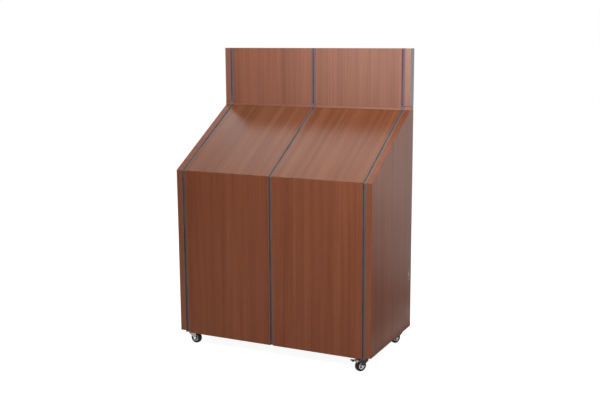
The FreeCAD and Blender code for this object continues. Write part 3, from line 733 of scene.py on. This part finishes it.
def make_pedal_covers():
    """A dark moulded cover with grip bars over each pedal's thick end."""
    heel, tip, half = 0.0532, 0.0594, 0.0084  # distances from the swivel's axis, and half the width
    half_thick, above_pivot, steps = 0.0029, 0.00495, 16
    first_bar, bar_pitch, bar_width, bars = 0.0022, 0.0031, 0.0013, 4
    outline = [(heel, -half)]
    for k in range(steps + 1):
        end = polar(half, -math.pi / 2 + math.pi * k / steps)
        outline.append((tip + end.x, end.y))
    outline.append((heel, half))
    for corner in ("front_right", "rear_left"):
        pivot = Vector(joints[f"swivel_{corner}"]["pos_m"])
        wheel = Vector(joints[f"spin_{corner}"]["pos_m"])
        trail = (wheel - pivot) * Vector((1, 1, 0))
        angle = math.atan2(trail.y, trail.x)
        level = joints[f"pedal_{corner}"]["pos_m"][2] + above_pivot
        stand = Matrix.Translation((pivot.x, pivot.y, level)) @ Matrix.Rotation(angle, 4, "Z")
        cover = bmesh.new()
        add_prism(cover, outline, -half_thick, half_thick, stand)
        for k in range(bars):
            x = heel + first_bar + k * bar_pitch
            reach = half * (0.74 if k < bars - 1 else 0.6)
            bar = [(x, -reach), (x + bar_width, -reach), (x + bar_width, reach), (x, reach)]
            add_prism(cover, bar, 0.0024, 0.0036, stand)
        name = f"pedal_cover_{corner}"
        piece(name, cover, f"pedal_{corner}", ("dark_plastic",), bevel=0.0006)


def make_floor_pad():
    """Felt-covered foam pad with soft edges, a stitched border and a worn hollow where books land."""
    low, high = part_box("floor_pad")
    thick = high.z - low.z
    columns, rows = 96, 48
    soft_edge = 0.011
    seam_inset, seam_width, seam_depth = 0.026, 0.0022, 0.0020
    hollow_from_front, hollow_depth = 0.12, 0.0012
    hollow_reach_x, hollow_reach_y = 0.22, 0.10

    def height(x, y):
        inset = min(x - low.x, high.x - x, y - low.y, high.y - y)
        rounded = 1.0 if inset > soft_edge else math.sqrt(max(0.0, 1 - (1 - inset / soft_edge) ** 2))
        seam = math.exp(-((inset - seam_inset) / seam_width) ** 2)
        from_hollow = y - low.y - hollow_from_front
        hollow = math.exp(-(x / hollow_reach_x) ** 2 - (from_hollow / hollow_reach_y) ** 2)
        return low.z + thick * (0.30 + 0.70 * rounded) - seam_depth * seam - hollow_depth * hollow

    def closer_at_ends(step, count):
        return 0.5 - 0.5 * math.cos(math.pi * step / count)

    mesh = bmesh.new()
    grid = []
    for i in range(columns + 1):
        x = low.x + (high.x - low.x) * closer_at_ends(i, columns)
        line = []
        for j in range(rows + 1):
            y = low.y + (high.y - low.y) * closer_at_ends(j, rows)
            line.append(mesh.verts.new((x, y, height(x, y))))
        grid.append(line)
    for i in range(columns):
        for j in range(rows):
            mesh.faces.new((grid[i][j], grid[i + 1][j], grid[i + 1][j + 1], grid[i][j + 1]))
    rim = [edge for edge in mesh.edges if edge.is_boundary]
    wall = bmesh.ops.extrude_edge_only(mesh, edges=rim)["geom"]
    for vert in (item for item in wall if isinstance(item, bmesh.types.BMVert)):
        vert.co.z = low.z
    bottom = [edge for edge in mesh.edges if edge.is_boundary]
    bmesh.ops.contextual_create(mesh, geom=bottom)
    pad = piece("felt_pad", mesh, "cabinet", ("pad_felt",))
    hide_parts("floor_pad")


# ---------------------------------------------------------------- stage
def glow_only(name, level):
    """A material that shines with one grey, and its emission node."""
    g = Graph(name)
    glow = g.node("ShaderNodeEmission")
    glow.inputs["Color"].default_value = (level, level, level, 1)
    g.tree.nodes.remove(g.shader)
    return g, glow


def make_stage():
    """A floor that shows white to the eye, to gloss and through glass, and still takes a shadow."""
    reach = 14.0
    floor_white = 0.93
    floor = bpy.data.meshes.new("floor")
    floor.from_pydata([(-reach, -reach, 0), (reach, -reach, 0), (reach, reach, 0), (-reach, reach, 0)],
                      [], [(0, 1, 2, 3)])
    ground = bpy.data.objects.new("floor", floor)
    bpy.context.scene.collection.objects.link(ground)
    g, glow = glow_only("floor_paper", 1)
    path = g.node("ShaderNodeLightPath")
    diffuse = g.node("ShaderNodeBsdfDiffuse")
    diffuse.inputs["Color"].default_value = (0.35, 0.35, 0.35, 1)
    seen = g.math("MAXIMUM", path.outputs["Is Camera Ray"], path.outputs["Is Glossy Ray"])
    seen = g.math("MAXIMUM", seen, path.outputs["Is Transmission Ray"])
    g.put(g.math("MULTIPLY", seen, floor_white), glow.inputs["Strength"])
    both = g.node("ShaderNodeAddShader")
    g.tree.links.new(diffuse.outputs[0], both.inputs[0])
    g.tree.links.new(glow.outputs[0], both.inputs[1])
    g.tree.links.new(both.outputs[0], g.output.inputs[0])
    floor.materials.append(g.material)


def make_flag(name, outline, shade):
    """A dark card that only reflections see, to keep a gloss from washing out the wood."""
    data = bpy.data.meshes.new(name)
    data.from_pydata(outline, [], [range(len(outline))])
    card = bpy.data.objects.new(name, data)
    g, glow = glow_only(name, shade)
    g.tree.links.new(glow.outputs[0], g.output.inputs[0])
    data.materials.append(g.material)
    bpy.context.scene.collection.objects.link(card)
    card.visible_camera = False
    card.visible_diffuse = False
    card.visible_transmission = False
    card.visible_shadow = False


def make_world():
    """Even grey light on the object, seen as white by the eye, by gloss and through glass."""
    light_level, seen_level = 0.26, 1.0
    world = bpy.data.worlds.new("studio")
    bpy.context.scene.world = world
    world.use_nodes = True
    tree = world.node_tree
    tree.nodes.clear()
    output = tree.nodes.new("ShaderNodeOutputWorld")
    mix = tree.nodes.new("ShaderNodeMixShader")
    for level, socket in ((light_level, mix.inputs[1]), (seen_level, mix.inputs[2])):
        plain = tree.nodes.new("ShaderNodeBackground")
        plain.inputs["Color"].default_value = (1, 1, 1, 1)
        plain.inputs["Strength"].default_value = level
        tree.links.new(plain.outputs[0], socket)
    path = tree.nodes.new("ShaderNodeLightPath")
    seen = path.outputs["Is Camera Ray"]
    for ray in ("Is Glossy Ray", "Is Transmission Ray"):
        either = tree.nodes.new("ShaderNodeMath")
        either.operation = "MAXIMUM"
        tree.links.new(seen, either.inputs[0])
        tree.links.new(path.outputs[ray], either.inputs[1])
        seen = either.outputs[0]
    tree.links.new(seen, mix.inputs[0])
    tree.links.new(mix.outputs[0], output.inputs[0])


def area_light(name, place, target, size, power, gloss_only=False):
    """A rectangular lamp that lights surfaces, or one that shows only in their gloss."""
    data = bpy.data.lights.new(name, "AREA")
    data.shape = "RECTANGLE"
    data.size, data.size_y = size
    data.energy = power
    lamp = bpy.data.objects.new(name, data)
    lamp.location = place
    lamp.rotation_euler = (Vector(target) - Vector(place)).to_track_quat("-Z", "Y").to_euler()
    lamp.visible_glossy = gloss_only
    lamp.visible_diffuse = not gloss_only
    lamp.visible_camera = False
    bpy.context.scene.collection.objects.link(lamp)


def make_lights():
    """Four soft lamps, two that give the slope and the header their sheen, and three dark cards."""
    middle, top, header = (0, 0, 0.6), (0, 0.1, 1.0), (0.3, 0.2, 1.15)
    area_light("key", (1.1, -2.25, 2.25), middle, size=(1.5, 1.2), power=56.0)
    area_light("side", (1.9, -1.3, 1.9), middle, size=(1.0, 1.0), power=25.0)
    area_light("top", (0.0, -0.15, 1.95), top, size=(1.2, 0.4), power=5.0)
    area_light("rear", (-1.6, 2.8, 2.0), middle, size=(1.6, 1.4), power=42.0)
    above, below = (-1.05, 1.35, 3.4), (-1.05, 1.32, 0.0)
    area_light("slope_card", above, below, size=(2.1, 1.1), power=13.0, gloss_only=True)
    area_light("header_card", (-0.75, -3.3, 1.2), header, size=(1.4, 1.0), power=34.0, gloss_only=True)

    upright = [(-2.52, -1.92, 0.01), (0.13, -2.85, 0.01), (-0.03, -3.28, 1.16), (-2.67, -2.36, 1.16)]
    beside = [(0.54, -0.4), (2.0, -0.4), (2.6, 3.5), (1.70, 3.5), (0.95, 1.6), (0.60, 0.9)]
    by_casters = [(0.43, -0.55), (0.53, -0.55), (0.53, 0.55), (0.43, 0.55)]
    make_flag("flag_front", upright, 0.25)
    make_flag("flag_side", [(x, y, 0.012) for x, y in beside], 0.15)
    make_flag("flag_casters", [(x, y, 0.014) for x, y in by_casters], 0.15)


make_camera()
finishes = {
    "dark_profile": dark_profile("dark_profile", (0.085, 0.051, 0.047), (0.122, 0.080, 0.075)),
    # The slope and header profiles are lit copies of the lower one: painted lighter, and the header's bluer,
    # for the light and reflections they catch.
    "slope_profile_painted_lit": dark_profile("slope_profile_painted_lit", (0.165, 0.110, 0.100), (0.215, 0.155, 0.140)),
    "header_profile_painted_lit": dark_profile("header_profile_painted_lit", (0.120, 0.072, 0.084), (0.170, 0.110, 0.125)),
    "batten_wood": batten_wood(),
    "chute_laminate": chute_laminate(),
    "brushed_metal": steel("brushed_metal", (0.50, 0.50, 0.51), 0.32, along=(3, 900, 900)),
    "bright_metal": steel("bright_metal", (0.66, 0.66, 0.67), 0.18, along=(60, 60, 60), share=0.12),
    "zinc_steel": steel("zinc_steel", (0.27, 0.25, 0.235), 0.17, along=(120, 120, 120), share=0.15),
    "axle_zinc": steel("axle_zinc", (0.74, 0.73, 0.70), 0.34, along=(200, 200, 200), share=0.1),
    "dark_metal": lacquered_metal(),
    "tyre_rubber": rubber(),
    "wheel_plastic": wheel_plastic(),
    "dark_plastic": dark_plastic(),
    "pad_felt": felt(),
}
dress_cad()
make_fasteners()
make_hinge_screws()
make_door_fittings()
make_rail_caps()
make_post_shadow_strips()
make_wheels()
make_seals()
make_pedal_covers()
make_floor_pad()
make_stage()
make_world()
make_lights()
scene = bpy.context.scene
scene.view_settings.view_transform = "Standard"
